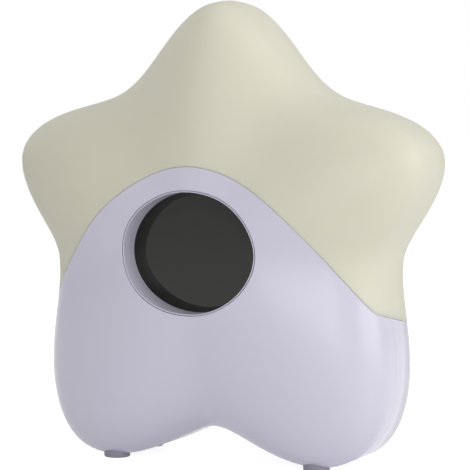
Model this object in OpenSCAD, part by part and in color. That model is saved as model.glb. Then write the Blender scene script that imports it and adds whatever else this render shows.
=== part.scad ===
// Star night light with a projector window: a lavender two-part foot housing, a cream
// diffuser over its arched top edge, a smoked oval window with the projector behind it,
// three AA cells behind a door at the back, and two push buttons above the door.
// Millimetres. X runs to the right, -Y is the front, +Z is up, the table is Z = 0.

/* [Star outline] */
// Height of the star's middle above the table
centre_height = 78; // [76:0.5:82]
// Reach from the middle to the top point
top_reach = 84.5; // [80:0.5:90]
// Reach to the dip between the top point and an arm
upper_dip_reach = 63.8; // [62:0.2:68]
// Reach to the end of an arm
arm_reach = 82.3; // [78:0.5:88]
// Reach to the waist below an arm
waist_reach = 61.1; // [60.5:0.1:64]
// Reach to the end of a leg
leg_reach = 90.2; // [88:0.2:91]
// Reach to the arch between the legs
arch_reach = 64.7; // [63.8:0.1:66]
// Direction of the upper dip above the horizontal, degrees
upper_dip_angle = 57.5; // [55:0.5:60]
// Direction of an arm
arm_angle = 24; // [20:0.5:27]
// Direction of the waist
waist_angle = -6; // [-9:0.5:-3]
// Direction of a leg
leg_angle = -54.3; // [-56:0.1:-53]

/* [Star thickness] */
// Half of the star's greatest thickness
half_depth = 38; // [37:0.5:44]
// Half of the straight edge that runs round the star
edge_half_width = 12.3; // [10:0.1:14]
// How far the straight edge is crowned at the top point
tip_crown = 1.2; // [0:0.1:1.5]
// Half of the depth over which the top point is crowned
crown_half_width = 16; // [14:0.5:18]
// Angle on each side of the top point over which the crown fades, degrees
crown_spread = 24; // [18:1:30]
// Wall of the housing
housing_wall = 2.4; // [1.8:0.1:2.8]
// Wall of the diffuser
diffuser_wall = 3.8; // [3.4:0.1:4.4]

/* [Parting edge] */
// Height at which the arched edge would end beside the star
edge_foot_height = 44.3; // [42:0.1:46]
// Rise of the arched edge over the window
edge_rise = 62.3; // [61:0.1:66]
// Half width of the arch
edge_half_span = 72.8; // [70:0.2:80]
// Fall of the edge for each millimetre towards the back
edge_fall = 0.155; // [0.12:0.005:0.17]
// Groove between the housing and the diffuser
edge_groove = 0.3; // [0.2:0.05:0.6]
// Depth of the diffuser's skirt inside the housing
skirt_depth = 3.6; // [2.5:0.1:3.6]
// Gap between the skirt and the housing wall
skirt_gap = 0.2; // [0.1:0.05:0.4]

/* [Window] */
// Width of the oval window
window_width = 49.2; // [44:0.2:50]
// Height of the oval window
window_height = 42.3; // [38:0.1:42.5]
// Height of the window's middle above the table
window_centre_height = 76.4; // [75:0.1:77]
// Depth of the pane behind the front of the star
pane_depth = 10.4; // [7:0.1:11]
// Thickness of the smoked pane
pane_thickness = 2; // [1.5:0.1:3]
// Margin of the pane behind the window's rim
pane_margin = 0.8; // [0.6:0.1:1]
// Wall of the window tunnel
tunnel_wall = 1.3; // [1:0.1:1.4]

/* [Projector] */
// Outer radius of the lens tube
lens_tube_radius = 15; // [13:0.25:16]
// Wall of the lens tube
lens_tube_wall = 1.6; // [1.2:0.1:2.2]
// Back end of the lens tube, in front of the middle plane
lens_tube_end = 1.4; // [1.2:0.1:3]
// Thickness of the lens at its middle
lens_thickness = 5; // [4:0.25:7]
// Thickness of the plate that carries the lens tube
flange_thickness = 1.6; // [1.2:0.1:2.4]
// Thickness of the film slide
film_thickness = 0.5; // [0.3:0.1:0.8]

/* [Power] */
// Diameter of a cell
cell_diameter = 14.2; // [13.8:0.1:14.4]
// Length of a cell with its button end
cell_length = 50.2; // [49.5:0.1:50.5]
// Height of the lowest cell's middle
lowest_cell_height = 26.6; // [26.4:0.1:27.4]
// Wall of the battery box
box_wall = 1.6; // [1.2:0.1:1.8]
// Width of the battery door
door_width = 62; // [61:0.5:70]
// Height of the battery door
door_height = 53.6; // [53:0.2:54.5]
// Height of the door's lower edge above the table
door_foot_height = 19.6; // [19:0.1:20.2]

/* [Buttons] */
// Radius of a push button
button_radius = 5; // [4:0.1:5.6]
// Distance between the buttons' middles
button_spacing = 22; // [18:0.5:24]
// Height of the buttons above the table
button_height = 81; // [80.5:0.1:81.5]
// Travel of a button
button_travel = 0.8; // [0.5:0.1:0.9]
// Gap round a button
button_gap = 0.2; // [0.1:0.05:0.4]

/* [Feet and screws] */
// Radius of a foot pad
foot_radius = 4.7; // [4:0.1:5.5]
// Height of a foot pad
foot_height = 3.4; // [3:0.1:4]
// Distance of the foot pads from the middle, sideways
foot_side = 38.8; // [37:0.2:40]
// Distance of the front pads from the middle plane
front_foot_depth = 13; // [11:0.2:15]
// Distance of the back pads from the middle plane
rear_foot_depth = 15; // [11:0.2:15]
// Radius of a housing screw's shank
screw_radius = 1.45; // [1.2:0.05:1.6]
// Radius of the small screws inside
small_screw_radius = 1.1; // [0.9:0.05:1.2]

/* [Hidden] */

LAVENDER = [0.76, 0.74, 0.84];
CREAM = [0.88, 0.87, 0.78];
SMOKE = [0.16, 0.16, 0.15];
PAD_GREY = [0.6, 0.58, 0.66];
BUTTON_LAVENDER = [0.85, 0.84, 0.9];
BOARD_GREEN = [0.15, 0.4, 0.22];
STEEL = [0.72, 0.73, 0.75];
WHITE = [0.93, 0.93, 0.91];
CHARCOAL = [0.2, 0.2, 0.22];
LENS_CLEAR = [0.85, 0.9, 0.95, 0.5];
FILM_BLUE = [0.3, 0.35, 0.6];
CELL_BRASS = [0.78, 0.6, 0.3];

// Smoothness
OUTLINE_STEPS = 104;
DOME_RINGS = 9;
INNER_STEPS = 48;
INNER_RINGS = 6;
BAND_LOOPS = 3;
EDGE_STEPS = 40;
OVAL_STEPS = 48;
ROUND = 48;
EPS = 0.01;
FAR = 120;

CELLS = 3;

// Clearances that several pieces share
seat_gap = 0.3;
slip = 0.05;

// ---------------------------------------------------------------- star outline

TIP_ANGLES = [90, upper_dip_angle, arm_angle, waist_angle, leg_angle, -90];
TIP_REACHES = [top_reach, upper_dip_reach, arm_reach, waist_reach, leg_reach, arch_reach];
// How soon each flank turns from one tip to the next: 0.5 is even
FLANK_BIAS = [0.59, 0.46, 0.54, 0.44, 0.5];

function ease(t, bias) = let (u = t / ((1 / bias - 2) * (1 - t) + 1)) u * u * (3 - 2 * u);
function fold(a) = let (m = a > 180 ? a - 360 : a < -180 ? a + 360 : a)
    m > 90 ? 180 - m : m < -90 ? -180 - m : m;
function flank(a) = a > TIP_ANGLES[1] ? 0 : a > TIP_ANGLES[2] ? 1
    : a > TIP_ANGLES[3] ? 2 : a > TIP_ANGLES[4] ? 3 : 4;
function reach_on(k, a) = TIP_REACHES[k] + (TIP_REACHES[k + 1] - TIP_REACHES[k])
    * ease((TIP_ANGLES[k] - a) / (TIP_ANGLES[k] - TIP_ANGLES[k + 1]), FLANK_BIAS[k]);
function reach(a) = let (f = fold(a)) reach_on(flank(f), f);
function outline_point(a) = reach(a) * [cos(a), sin(a)];
function outward(a) = let (d = outline_point(a + 0.5) - outline_point(a - 0.5))
    [d[1], -d[0]] / norm(d);
function inset_point(a, inset) = outline_point(a) - inset * outward(a);

// ---------------------------------------------------------------- star solid

// The crown of the top point in direction a at depth y, as a factor of the reach
function swell(a, y) =
    let (near = cos(90 * min(1, (90 - fold(a)) / crown_spread)),
        middle = 1 - min(1, pow(y / crown_half_width, 2)))
    1 + tip_crown / top_reach * near * near * middle * middle;

// The star's outer surface moved inwards: an edge band, straight but for the top point, between two domes
module star_solid(inset, steps, rings) {
    rise = half_depth - inset - edge_half_width;
    angles = [for (i = [0:steps - 1]) -90 + 360 * i / steps];
    outline = [for (a = angles) inset_point(a, inset)];
    function loop(k, side) = let (a = 90 * k / rings) [cos(a), side * (edge_half_width + rise * sin(a))];
    front = [for (k = [rings - 1:-1:0]) loop(k, -1)];
    back = [for (k = [0:rings - 1]) loop(k, 1)];
    band = [for (k = [1 - BAND_LOOPS:BAND_LOOPS - 1]) [1, edge_half_width * k / BAND_LOOPS]];
    loops = concat(front, band, back);
    points = [for (l = loops) for (j = [0:steps - 1])
        let (p = outline[j], share = l[0] * swell(angles[j], l[1]))
        [p[0] * share, l[1], centre_height + p[1] * share]];
    poles = [[0, inset - half_depth, centre_height], [0, half_depth - inset, centre_height]];
    first_pole = len(points);
    last = (len(loops) - 1) * steps;
    faces = concat(
        [for (j = [0:steps - 1]) [first_pole, (j + 1) % steps, j]],
        [for (k = [0:len(loops) - 2]) for (j = [0:steps - 1]) for (t = [0:1])
            let (a = k * steps + j, b = k * steps + (j + 1) % steps)
            t == 0 ? [a, b, b + steps] : [a, b + steps, a + steps]],
        [for (j = [0:steps - 1]) [last + j, last + (j + 1) % steps, first_pole + 1]]);
    polyhedron(points = concat(points, poles), faces = faces);
}

module outer_star() { star_solid(0, OUTLINE_STEPS, DOME_RINGS); }
module inner_star(inset) { star_solid(inset, INNER_STEPS, INNER_RINGS); }

// Depth of the star's front or back surface at a place, measured from the middle plane
function surface_depth(x, z, inset = 0) =
    let (a = atan2(z - centre_height, x),
        share = norm([x, z - centre_height]) / norm(inset_point(a, inset)))
    edge_half_width + (half_depth - inset - edge_half_width) * sqrt(1 - min(1, share * share));

// ---------------------------------------------------------------- parting edge

function edge_height(x, y) = edge_foot_height - edge_fall * (y + half_depth)
    + edge_rise * cos(90 * min(1, abs(x) / edge_half_span));

// Everything between a low level and the parting edge moved up by lift
module below_edge(lift, low = -20) {
    span = edge_half_span;
    reach_y = half_depth + 6;
    columns = [for (i = [0:EDGE_STEPS]) -span + 2 * span * i / EDGE_STEPS];
    count = len(columns);
    function rim(y) = [for (x = columns) [x, y, edge_height(x, y) + lift]];
    points = concat(rim(-reach_y), rim(reach_y),
        [[-span, -reach_y, low], [span, -reach_y, low], [-span, reach_y, low], [span, reach_y, low]]);
    base = 2 * count;
    faces = concat(
        [for (i = [0:count - 2]) [i, i + count, i + count + 1, i + 1]],
        [concat([base], [for (i = [0:count - 1]) i], [base + 1])],
        [concat([base + 3], [for (i = [count - 1:-1:0]) i + count], [base + 2])],
        [[base, base + 2, count, 0], [base + 1, count - 1, 2 * count - 1, base + 3],
         [base, base + 1, base + 3, base + 2]]);
    polyhedron(points = points, faces = faces);
}

// ---------------------------------------------------------------- shared shapes

// Round bar along Y
module bar(radius, from, to, x, z) {
    translate([x, from, z]) rotate([-90, 0, 0]) cylinder(r = radius, h = to - from, $fn = ROUND);
}

// Oval bar along Y on the window's middle
module oval_bar(grow, from, to) {
    translate([0, to, window_centre_height]) rotate([90, 0, 0]) linear_extrude(to - from)
        polygon([for (i = [0:OVAL_STEPS - 1]) let (a = 360 * i / OVAL_STEPS)
            [(window_width / 2 + grow) * cos(a), (window_height / 2 + grow) * sin(a)]]);
}

module block(x, y, z) {
    translate([x[0], y[0], z[0]]) cube([x[1] - x[0], y[1] - y[0], z[1] - z[0]]);
}

module front_half() { block([-FAR, FAR], [-FAR, 0], [-FAR, 2 * FAR]); }
module rear_half() { block([-FAR, FAR], [0, FAR], [-FAR, 2 * FAR]); }

// ---------------------------------------------------------------- places worked out from the sizes

star_front = -half_depth;
tunnel_grow = pane_margin + tunnel_wall;
pane_front = star_front + pane_depth;
pane_back = pane_front + pane_thickness;
tunnel_rest = 3.6;
tunnel_end = pane_back + tunnel_rest;
flange_end = tunnel_end + flange_thickness;
pane_slip = 0.1;

// Middles of the three posts that carry the lens tube's plate
tube_post_radius = 3;
post_overlap = 0.6;
tube_post_side = window_width / 2 + tunnel_grow + tube_post_radius - post_overlap;
tube_post_below = window_height / 2 + tunnel_grow + tube_post_radius - post_overlap;
TUBE_POSTS = [[-tube_post_side, window_centre_height], [tube_post_side, window_centre_height],
    [0, window_centre_height - tube_post_below]];
tube_collar = 2;
tube_screw_depth = 6;
tube_screw_head = 1.3;
lens_step_depth = 3;
ear_screw_side = lens_tube_radius + 2.4;

// Middles of the four screws that hold the two housing halves together
LOWER_SCREW = [46, 26];
UPPER_SCREW = [47, 54];
HOUSING_SCREWS = [for (side = [-1, 1]) for (place = [LOWER_SCREW, UPPER_SCREW])
    [side * place[0], place[1]]];
post_radius = 5;
head_radius = 2 * screw_radius;
head_height = 2.2;
head_seat = 10;
screw_end = -11;

// Battery bay
cell_radius = cell_diameter / 2;
cell_pitch = cell_diameter + 0.8;
cell_button_radius = 2.7;
cell_button_height = 1.4;
spring_length = 5.4;
spring_radius = 3.6;
spring_wire = 0.4;
SPRING_TURNS = 3;
plate_thickness = 0.4;
plate_width = 11;
plate_height = 12;
bay_half_width = (cell_length + spring_length + 2 * plate_thickness + 2 * slip) / 2;
bay_foot = lowest_cell_height - cell_pitch / 2;
bay_top = bay_foot + CELLS * cell_pitch;
box_front = 4.4;
box_screw_floor = 0.6;
bay_front = box_front + box_wall;
cell_depth = bay_front + slip + cell_radius;
cell_shift = spring_length / 2;

// Battery door and its screw
door_top = door_foot_height + door_height;
door_corner = 5;
door_gap = 0.15;
door_screw_drop = 3.3;
door_screw_height = door_top - door_screw_drop;
door_screw_radius = 1.2;
door_screw_length = 9;
door_head_radius = 2.6;
door_head_height = 1.7;
door_post_radius = 3.6;
door_post_depth = 5.4;
door_post_end = surface_depth(0, door_screw_height) - door_post_depth;
door_seat_thickness = 3.2;
door_head_seat = door_post_end + door_seat_thickness;
door_rib_side = 13;
door_rib_half = 0.8;
door_rib_gap = 0.6;

// Buttons, their switches and the small board behind them
button_sides = [-button_spacing / 2, button_spacing / 2];
button_face = half_depth;
button_flange_width = 1;
button_flange_thickness = 1.2;
flange_back = surface_depth(button_spacing / 2 + button_radius, button_height, housing_wall) - 0.6;
flange_front = flange_back - button_flange_thickness;
plunger_radius = 1.7;
plunger_top = flange_front - 0.4;
switch_top = plunger_top - button_travel - 0.2;
switch_height = 3.2;
switch_half = 3;
switch_floor = 1;
switch_board_back = switch_top - switch_height;
board_thickness = 1.6;
switch_board_front = switch_board_back - board_thickness;
switch_board_margin = 6;
switch_board_half = button_spacing / 2 + switch_board_margin;
switch_post_rise = 3.5;
SWITCH_POSTS = [[0, button_height - switch_post_rise], [0, button_height + switch_post_rise]];
switch_post_radius = 2.2;
board_screw_depth = 5;
board_screw_head = 1.2;

// Main board in front of the battery box
main_board_back = box_front - seat_gap;
main_board_front = main_board_back - board_thickness;
main_board_half_width = bay_half_width - 1.25;
main_board_foot = bay_foot + 4.9;
main_board_top = bay_top - 4.1;
board_screw_margin = 3;
MAIN_SCREWS = [for (side = [-1, 1])
    for (z = [main_board_foot + board_screw_margin, main_board_top - board_screw_margin])
    [side * (main_board_half_width - board_screw_margin), z]];

// Night light board on its four posts over the crest of the baffle
baffle_thickness = 1.4;
baffle_top = -skirt_depth + 1.1;
baffle_foot = baffle_top - baffle_thickness;
lamp_board_half = 13;
lamp_board_lift = 1.4;
lamp_board_foot = edge_height(0, -lamp_board_half - 1) + baffle_top + lamp_board_lift;
lamp_board_thickness = 1.2;
lamp_post_side = 10;
LAMP_POSTS = [for (x = [-1, 1]) for (y = [-1, 1]) lamp_post_side * [x, y]];
lamp_post_radius = 2;
lamp_post_height = 8;
lamp_screw_depth = 6;
wire_hole_radius = 2;
lamp_led_side = 6;
lamp_led_radius = 1.8;
lamp_led_height = 4.6;

// Projector board at the end of the lens tube
projector_board_front = -lens_tube_end + 0.1;
projector_board_back = projector_board_front + board_thickness;
projector_board_radius = lens_tube_radius + 0.5;
projector_board_half = lens_tube_radius + 5;
ear_half_height = 4;
projector_led_radius = 2.4;
projector_led_height = 3.4;

FEET = [[-foot_side, -front_foot_depth], [foot_side, -front_foot_depth],
    [-foot_side, rear_foot_depth], [foot_side, rear_foot_depth]];
foot_socket_gap = 0.1;
foot_bed_wall = 2;
foot_bed_floor = 1.5;
leg_drop = max([for (a = [leg_angle - 16:0.5:leg_angle + 10]) -reach(a) * sin(a)]);
foot_stem_radius = 0.6 * foot_radius;
foot_stem_top = centre_height - leg_drop + housing_wall + 1;

// ---------------------------------------------------------------- housing

// Solid bed for the foot pads, open below for each pad
module foot_beds() {
    for (foot = FEET) translate([foot[0], foot[1], -EPS])
        cylinder(r = foot_radius + foot_bed_wall, h = foot_height + seat_gap + foot_bed_floor, $fn = ROUND);
}
module foot_sockets() {
    for (foot = FEET) translate([foot[0], foot[1], -1])
        cylinder(r = foot_radius + foot_socket_gap, h = foot_height + seat_gap + 1, $fn = ROUND);
}

// Stems that join the pads' beds to the legs where the star stands high over its pads
module foot_stems() {
    foot_seat = foot_height + seat_gap;
    for (foot = FEET) translate([foot[0], foot[1], foot_seat])
        cylinder(r = foot_stem_radius, h = max(foot_bed_floor, foot_stem_top - foot_seat), $fn = ROUND);
}

module window_tunnel() { oval_bar(tunnel_grow, star_front, tunnel_end); }
module window_bore() {
    oval_bar(0, star_front - 5, pane_front + EPS);
    oval_bar(pane_margin, pane_front, tunnel_end + EPS);
}

// One half of the star under the parting edge, with its foot stems
module housing_form() {
    intersection() { outer_star(); below_edge(-edge_groove); children(); }
    intersection() { foot_stems(); children(); }
}

module front_housing() color(LAVENDER) difference() {
    housing_form() front_half();
    difference() {
        inner_star(housing_wall);
        window_tunnel();
        foot_beds();
        for (place = TUBE_POSTS) bar(tube_post_radius, star_front, tunnel_end, place[0], place[1]);
        for (place = HOUSING_SCREWS) bar(post_radius - 1, star_front, -seat_gap, place[0], place[1]);
    }
    window_bore();
    foot_sockets();
    for (place = TUBE_POSTS)
        bar(small_screw_radius + slip, tunnel_end - tube_screw_depth - 1, tunnel_end + 1, place[0], place[1]);
    for (place = HOUSING_SCREWS) bar(screw_radius + slip, screw_end - 1, 1, place[0], place[1]);
}

// Outline of the battery door with round corners, cut through along Y
module door_outline(grow) {
    x = door_width / 2 - door_corner;
    low = door_foot_height + door_corner;
    high = door_top - door_corner;
    translate([0, FAR, 0]) rotate([90, 0, 0]) linear_extrude(FAR - bay_front)
        polygon([for (k = [0:3]) for (a = [0:15:90])
            let (centre = [k == 0 || k == 3 ? x : -x, k < 2 ? high : low])
            centre + (door_corner + grow) * [cos(a + 90 * k), sin(a + 90 * k)]]);
}

module rear_housing() color(LAVENDER) difference() {
    housing_form() rear_half();
    difference() {
        inner_star(housing_wall);
        foot_beds();
        for (place = HOUSING_SCREWS) bar(post_radius, 0, half_depth, place[0], place[1]);
        for (place = SWITCH_POSTS)
            bar(switch_post_radius, switch_board_back + seat_gap, half_depth, place[0], place[1]);
    }
    door_outline(door_gap);
    foot_sockets();
    for (place = HOUSING_SCREWS) {
        bar(screw_radius + slip, -1, head_seat + 1, place[0], place[1]);
        bar(head_radius + 0.5, head_seat, half_depth + 1, place[0], place[1]);
    }
    for (place = SWITCH_POSTS)
        bar(small_screw_radius + slip, switch_board_back, switch_board_back + board_screw_depth + 1,
            place[0], place[1]);
    for (x = button_sides)
        bar(button_radius + button_gap, flange_front, half_depth + 1, x, button_height);
}

module foot_pad(k) color(PAD_GREY) translate([FEET[k][0], FEET[k][1], 0])
    cylinder(r = foot_radius, h = foot_height, $fn = ROUND);

// Room that the buttons and their flanges need in the pieces next to them
module button_room() {
    for (x = button_sides) {
        bar(button_radius + button_gap, flange_front, half_depth + 1, x, button_height);
        bar(button_radius + button_flange_width + button_gap, switch_board_back, flange_back + seat_gap,
            x, button_height);
    }
}

// ---------------------------------------------------------------- diffuser and baffle

module night_light_diffuser() color(CREAM) difference() {
    union() {
        difference() { outer_star(); below_edge(0); }
        difference() { inner_star(housing_wall + skirt_gap); below_edge(-skirt_depth); }
    }
    inner_star(diffuser_wall);
    button_room();
}

// The arched white plate that closes the housing under the diffuser
module light_baffle() color(WHITE) difference() {
    union() {
        intersection() {
            inner_star(diffuser_wall + seat_gap);
            difference() { below_edge(baffle_top); below_edge(baffle_foot, -30); }
        }
        for (p = LAMP_POSTS) translate([p[0], p[1], lamp_board_foot - lamp_post_height])
            cylinder(r = lamp_post_radius, h = lamp_post_height, $fn = ROUND);
    }
    for (p = LAMP_POSTS) translate([p[0], p[1], lamp_board_foot - lamp_screw_depth])
        cylinder(r = small_screw_radius + slip, h = lamp_screw_depth + 1, $fn = ROUND);
    translate([0, 0, lamp_board_foot - 2 * lamp_post_height])
        cylinder(r = wire_hole_radius + 0.6, h = 2 * lamp_post_height, $fn = ROUND);
    button_room();
    block((switch_board_half + seat_gap) * [-1, 1],
        [switch_board_front - board_screw_head - seat_gap, half_depth],
        [button_height - switch_board_margin - seat_gap, button_height + switch_board_margin + seat_gap]);
}

module night_light_board() color(BOARD_GREEN) difference() {
    translate([0, 0, lamp_board_foot + lamp_board_thickness / 2])
        cube([2 * lamp_board_half, 2 * lamp_board_half, lamp_board_thickness], center = true);
    for (p = LAMP_POSTS) translate([p[0], p[1], lamp_board_foot - 1])
        cylinder(r = small_screw_radius + slip, h = 4, $fn = ROUND);
    translate([0, 0, lamp_board_foot - 1]) cylinder(r = wire_hole_radius, h = 4, $fn = ROUND);
}

// One dome-topped light on its flange, standing along +Z
module led(radius, height) {
    cylinder(r = radius + 0.5, h = 0.8, $fn = ROUND);
    intersection() {
        cylinder(r = radius, h = height, $fn = ROUND);
        union() {
            cylinder(r = radius + 1, h = height - radius, $fn = ROUND);
            translate([0, 0, height - radius]) sphere(r = radius, $fn = ROUND);
        }
    }
}

module night_light_leds() color(CREAM)
    for (x = [-1, 1]) for (y = [-1, 1])
        translate([x * lamp_led_side, y * lamp_led_side, lamp_board_foot + lamp_board_thickness])
            led(lamp_led_radius, lamp_led_height);

// ---------------------------------------------------------------- projector

module window_pane() color(SMOKE) oval_bar(pane_margin - pane_slip, pane_front, pane_back);

module lens_tube() color(CHARCOAL) difference() {
    union() {
        difference() {
            oval_bar(pane_margin - pane_slip, pane_back + slip, tunnel_end + slip);
            oval_bar(pane_margin - tube_collar, pane_back, tunnel_end + 1);
        }
        oval_bar(tunnel_grow, tunnel_end + slip, flange_end);
        for (place = TUBE_POSTS)
            bar(tube_post_radius + 1, tunnel_end + slip, flange_end, place[0], place[1]);
        bar(lens_tube_radius, tunnel_end + slip, -lens_tube_end, 0, window_centre_height);
    }
    bar(lens_tube_radius - lens_tube_wall, tunnel_end + lens_step_depth, 1, 0, window_centre_height);
    bar(step_radius, tunnel_end - 1, tunnel_end + 4, 0, window_centre_height);
    for (place = TUBE_POSTS)
        bar(small_screw_radius + slip, tunnel_end - 1, flange_end + 1, place[0], place[1]);
}

// Lens with two equal faces, resting on the step inside the tube
lens_radius = lens_tube_radius - lens_tube_wall - slip;
lens_rim = 1.6;
lens_bulge = (lens_thickness - lens_rim) / 2;
face_radius = (lens_radius * lens_radius + lens_bulge * lens_bulge) / (2 * lens_bulge);
step_radius = lens_radius - 1.4;
lens_sag = (lens_radius * lens_radius - step_radius * step_radius) / (2 * face_radius);
lens_front = tunnel_end + lens_step_depth + slip + lens_sag;

module projection_lens() color(LENS_CLEAR)
    translate([0, lens_front + lens_rim / 2, window_centre_height]) rotate([-90, 0, 0])
        rotate_extrude($fn = ROUND) intersection() {
            translate([0, -lens_thickness]) square([lens_radius, 2 * lens_thickness]);
            translate([0, lens_rim / 2 + lens_bulge - face_radius]) circle(r = face_radius, $fn = 180);
            translate([0, face_radius - lens_rim / 2 - lens_bulge]) circle(r = face_radius, $fn = 180);
        }

// Film slide with small clear dots, and the ring that holds it
film_front = -8;
film_back = film_front + film_thickness;
film_ring_length = 2.4;
film_ring_wall = 2;
FILM_DOTS = 7;
film_dot_radius = 0.6;

module star_film() color(FILM_BLUE) difference() {
    bar(lens_radius, film_front, film_back, 0, window_centre_height);
    for (k = [0:FILM_DOTS - 1]) let (a = 360 * k / FILM_DOTS, r = 3 + 1.8 * (k % 4))
        bar(film_dot_radius, film_front - 1, film_back + 1, r * cos(a), window_centre_height + r * sin(a));
}

module film_ring() color(CHARCOAL) difference() {
    bar(lens_radius, film_back + slip, film_back + film_ring_length, 0, window_centre_height);
    bar(lens_radius - film_ring_wall, film_front, film_back + film_ring_length + 1, 0, window_centre_height);
}

module projector_board() color(BOARD_GREEN) difference() {
    union() {
        bar(projector_board_radius, projector_board_front, projector_board_back, 0, window_centre_height);
        block([-projector_board_half, projector_board_half], [projector_board_front, projector_board_back],
            [window_centre_height - ear_half_height, window_centre_height + ear_half_height]);
    }
    for (side = [-1, 1])
        bar(small_screw_radius + slip, projector_board_front - 1, projector_board_back + 1,
            side * ear_screw_side, window_centre_height);
}

module projector_led() color(WHITE)
    translate([0, projector_board_front, window_centre_height]) rotate([90, 0, 0])
        led(projector_led_radius, projector_led_height);

// ---------------------------------------------------------------- boards

module main_board() color(BOARD_GREEN) difference() {
    block([-main_board_half_width, main_board_half_width], [main_board_front, main_board_back],
        [main_board_foot, main_board_top]);
    for (place = MAIN_SCREWS)
        bar(small_screw_radius + slip, main_board_front - 1, main_board_back + 1, place[0], place[1]);
}

module main_board_parts() color(CHARCOAL) {
    middle = (main_board_foot + main_board_top) / 2;
    // Chip
    block([-9, 3], [main_board_front - 2, main_board_front], [middle - 4, middle + 4]);
    // Two small transistors beside it
    for (z = [middle - 5, middle + 1])
        block([8, 13], [main_board_front - 1.2, main_board_front], [z, z + 3]);
    // Wire plug
    block([-18, -13], [main_board_front - 3.5, main_board_front], [main_board_top - 10, main_board_top - 3]);
    // Large and small capacitor
    bar(3.2, main_board_front - 7, main_board_front, 14, main_board_top - 8);
    bar(2.5, main_board_front - 5, main_board_front, -16, main_board_foot + 8);
}

module switch_board() color(BOARD_GREEN) difference() {
    block([-switch_board_half, switch_board_half], [switch_board_front, switch_board_back],
        [button_height - switch_board_margin, button_height + switch_board_margin]);
    for (place = SWITCH_POSTS)
        bar(small_screw_radius + slip, switch_board_front - 1, switch_board_back + 1, place[0], place[1]);
    bar(door_post_radius + seat_gap, switch_board_front - 1, switch_board_back + 1, 0, door_screw_height);
}

module button_switches() color(CHARCOAL) for (x = button_sides) difference() {
    block([x - switch_half, x + switch_half], [switch_board_back, switch_top],
        [button_height - switch_half, button_height + switch_half]);
    bar(plunger_radius + slip, switch_board_back + switch_floor, switch_top + 1, x, button_height);
}

module plunger(x) color(WHITE)
    bar(plunger_radius, switch_board_back + switch_floor + button_travel + 0.1, plunger_top, x, button_height);

module button(x) color(BUTTON_LAVENDER) {
    bar(button_radius, flange_front, button_face, x, button_height);
    bar(button_radius + button_flange_width, flange_front, flange_back, x, button_height);
    bar(plunger_radius, plunger_top + slip, flange_front + EPS, x, button_height);
}

// ---------------------------------------------------------------- power

module battery_box() color(CHARCOAL) difference() {
    union() {
        intersection() {
            inner_star(housing_wall + seat_gap);
            block([-bay_half_width - box_wall, bay_half_width + box_wall], [box_front, half_depth],
                [bay_foot - box_wall, bay_top + box_wall]);
        }
        bar(door_post_radius, box_front, door_post_end, 0, door_screw_height);
        block([-2, 2], [box_front, door_post_end - 1], [bay_top + EPS, door_screw_height]);
    }
    block([-bay_half_width, bay_half_width], [bay_front, FAR], [bay_foot, bay_top]);
    bar(door_screw_radius + slip, door_post_end - door_screw_length - 3, door_post_end + 1,
        0, door_screw_height);
    for (place = MAIN_SCREWS)
        bar(small_screw_radius + slip, box_front - 1, bay_front - box_screw_floor + 0.2, place[0], place[1]);
}

module battery(k) color(CELL_BRASS) {
    flip = k % 2 == 0 ? 1 : -1;
    body_length = cell_length - cell_button_height;
    translate([flip * cell_shift, cell_depth, lowest_cell_height + k * cell_pitch])
        rotate([0, flip * 90, 0]) translate([0, 0, -cell_length / 2]) {
            cylinder(r = cell_radius, h = body_length, $fn = ROUND);
            translate([0, 0, body_length - EPS])
                cylinder(r = cell_button_radius, h = cell_button_height + EPS, $fn = ROUND);
        }
}

// Coil of wire along +Z, swept as a closed tube
module coil(radius, wire, height, turns) {
    rings = 10 * turns;
    sides = 5;
    points = [for (i = [0:rings]) let (a = 36 * i, z = wire + (height - 2 * wire) * i / rings)
        for (s = [0:sides - 1]) let (t = 360 * s / sides, r = radius + wire * cos(t))
            [r * cos(a), r * sin(a), z + wire * sin(t)]];
    tube(points, rings, sides);
}

// Closed tube over rings of points; ring i holds points i*sides to i*sides+sides-1
module tube(points, rings, sides) {
    faces = concat([[for (s = [sides - 1:-1:0]) s]],
        [for (i = [0:rings - 1]) for (s = [0:sides - 1]) for (t = [0:1])
            let (a = i * sides + s, b = i * sides + (s + 1) % sides)
            t == 0 ? [a, b, b + sides] : [a, b + sides, a + sides]],
        [[for (s = [0:sides - 1]) rings * sides + s]]);
    polyhedron(points = points, faces = faces);
}

module battery_springs() color(STEEL) for (k = [0:CELLS - 1]) {
    flip = k % 2 == 0 ? -1 : 1;
    translate([flip * (bay_half_width - plate_thickness), cell_depth, lowest_cell_height + k * cell_pitch])
        rotate([0, -flip * 90, 0])
            coil(spring_radius, spring_wire, spring_length - 2 * slip, SPRING_TURNS);
}

module battery_plates() color(STEEL) for (side = [-1, 1])
    for (k = [0:CELLS - 1])
        translate([side * (bay_half_width - plate_thickness / 2), cell_depth,
            lowest_cell_height + k * cell_pitch])
            cube([plate_thickness, plate_width, plate_height], center = true);

module battery_door() color(LAVENDER) difference() {
    intersection() { outer_star(); door_outline(0); }
    difference() {
        inner_star(housing_wall);
        bar(door_post_radius, door_post_end + seat_gap, half_depth, 0, door_screw_height);
        for (x = door_rib_side * [-1, 1])
            block([x - door_rib_half, x + door_rib_half],
                [cell_depth + cell_radius + door_rib_gap, half_depth], [bay_foot + 8, bay_top - 4]);
    }
    bar(door_screw_radius + door_gap, door_post_end, half_depth + 1, 0, door_screw_height);
    bar(door_head_radius + seat_gap, door_head_seat, half_depth + 1, 0, door_screw_height);
    button_room();
    block([-bay_half_width, bay_half_width], [bay_front, cell_depth + cell_radius + seat_gap],
        [bay_foot, bay_top]);
}

// ---------------------------------------------------------------- fasteners

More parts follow.
